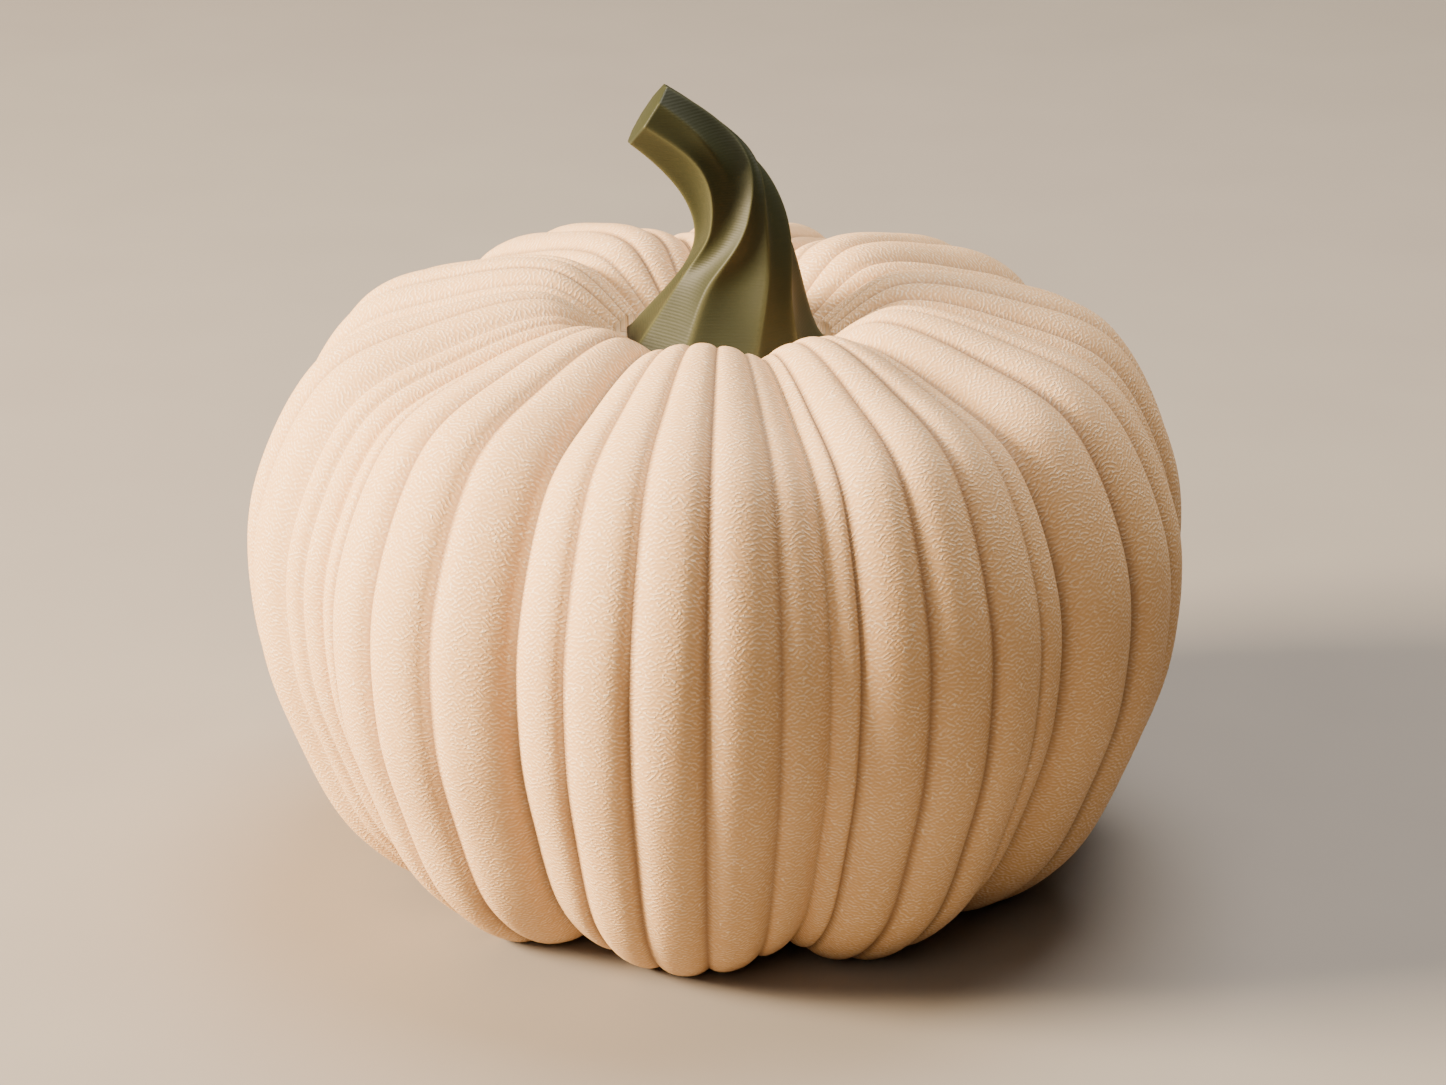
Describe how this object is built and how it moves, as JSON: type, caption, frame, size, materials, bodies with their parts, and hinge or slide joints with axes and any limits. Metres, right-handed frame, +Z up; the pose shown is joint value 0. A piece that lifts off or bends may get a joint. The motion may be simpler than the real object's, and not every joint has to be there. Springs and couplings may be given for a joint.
{
  "type": "decorative pumpkin",
  "caption": "Lobed, finely ribbed pumpkin ornament that stands on a flat underside, with a separate twisted stem plugged into the dimple on top.",
  "frame": {"origin": "centre of the flat underside of the body, on the surface that it stands on", "axes": "+Z up; +X to the right as seen from the front; the front lobe faces -Y; the stem leans towards -X"},
  "size_m": [0.1506, 0.1514, 0.1297],
  "materials": {
    "body": "cream plastic with a fine fuzzy texture",
    "stem": "olive green plastic with fine layer lines and a slight sheen"
  },
  "bodies": {
    "root": {"body": "body", "stem": "stem"}
  },
  "joints": []
}
